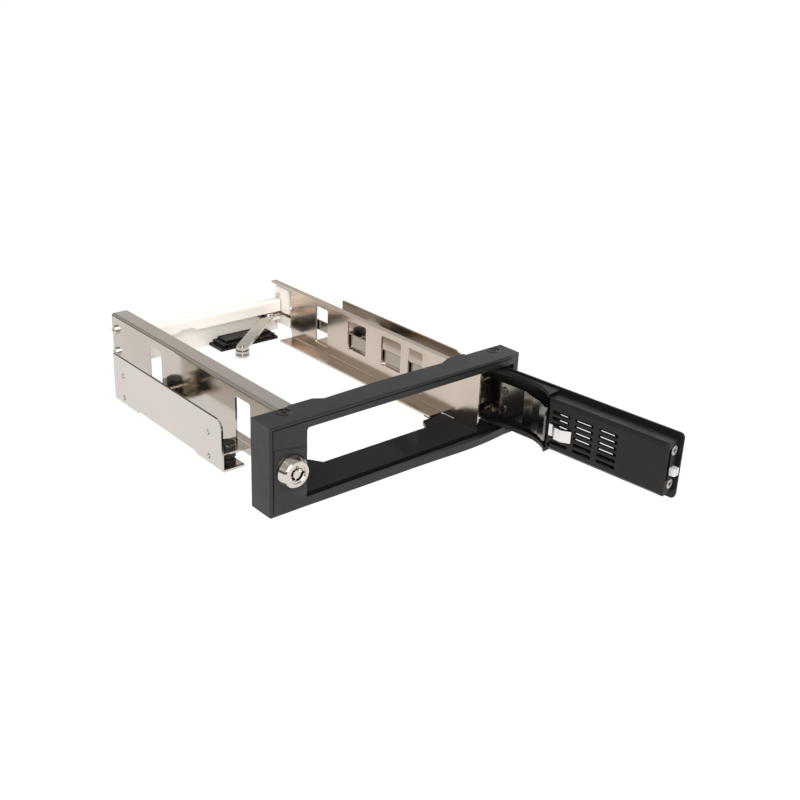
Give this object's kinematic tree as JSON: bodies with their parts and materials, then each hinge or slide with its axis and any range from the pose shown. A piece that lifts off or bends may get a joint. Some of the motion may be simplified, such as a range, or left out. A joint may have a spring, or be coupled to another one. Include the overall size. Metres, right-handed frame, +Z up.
{
  "type": "hard drive mobile rack",
  "caption": "Trayless drive rack for a half-height bay: bezel with a vented locking door that drives an eject lever, sheet-metal sides and damped bay brackets.",
  "frame": {"origin": "middle of the bezel's bottom edge, on the plane of its front face, at the underside", "axes": "+X to the right seen from the front, +Y to the rear of the bay, +Z up"},
  "size_m": [0.1499, 0.2879, 0.042],
  "materials": {
    "black_plastic": "fine matt moulded texture",
    "nickel_sheet": "polished nickel plate",
    "plated_panel": "bright zinc plate",
    "black_rubber": "satin",
    "screw_nickel": "nickel plated",
    "screw_black": "black zinc",
    "lock_chrome": "polished",
    "connector_black": "satin",
    "board_green": "solder mask",
    "latch_white": "smooth",
    "spring_steel": "bright"
  },
  "bodies": {
    "chassis": {"bezel": "black_plastic", "bezel_screws": "screw_black", "left_side_plate": "nickel_sheet", "right_side_plate": "nickel_sheet", "rear_panel": "plated_panel", "rear_panel_screws": "screw_nickel", "drive_connector": "connector_black", "backplane_board": "board_green", "board_screws": "screw_nickel", "data_socket": "connector_black", "power_socket": "latch_white", "left_bay_bracket": "nickel_sheet", "right_bay_bracket": "nickel_sheet", "front_left_damper": "black_rubber", "rear_left_damper": "black_rubber", "front_right_damper": "black_rubber", "rear_right_damper": "black_rubber", "damper_screws": "screw_black", "hinge_pins": "screw_nickel", "rod_guides": "screw_nickel", "lever_pivot": "screw_nickel", "lock_body": "lock_chrome", "lock_nut": "lock_chrome"},
    "door": {"door_panel": "black_plastic", "door_cover": "black_plastic", "door_end_screws": "screw_nickel", "latch_spring": "spring_steel", "pusher_spring": "spring_steel", "hinge_arm": "nickel_sheet", "arm_rivets": "screw_nickel", "drive_pin": "screw_nickel"},
    "latch": {"latch_tongue": "latch_white"},
    "push_rod": {"push_rod": "nickel_sheet"},
    "eject_lever": {"eject_lever": "nickel_sheet", "eject_roller": "screw_nickel"},
    "lock_plug": {"lock_plug": "lock_chrome", "lock_cam": "screw_nickel", "lock_cam_screw": "screw_nickel"}
  },
  "joints": [
    {"name": "door_hinge", "type": "hinge", "parent": "chassis", "child": "door", "pos_m": [0.0562, 0.0101, 0.021], "axis": [0, 0, 1], "range_deg": [-94.9, 0]},
    {"name": "push_rod_slide", "type": "slide", "parent": "chassis", "child": "push_rod", "axis": [0, 1, 0], "range_m": [-0.008, 0]},
    {"name": "eject_lever_pivot", "type": "hinge", "parent": "chassis", "child": "eject_lever", "pos_m": [0.0435, 0.1726, 0.017], "axis": [0, 0, 1], "range_deg": [-36.8, 0]},
    {"name": "lock_turn", "type": "hinge", "parent": "chassis", "child": "lock_plug", "pos_m": [-0.0632, 0, 0.0196], "axis": [0, 1, 0], "range_deg": [0, 90]},
    {"name": "latch_slide", "type": "slide", "parent": "door", "child": "latch", "axis": [-0.0854, 0.9963, 0], "range_m": [0, 0.0026], "stiffness_N_per_m": 200, "springref_m": -0.002, "deforming": ["latch_spring"]}
  ],
  "couplings": [
    {"joint": "push_rod_slide", "follows": "door_hinge", "m_per_rad": 0.004829},
    {"joint": "eject_lever_pivot", "follows": "door_hinge", "ratio": 0.3877}
  ]
}
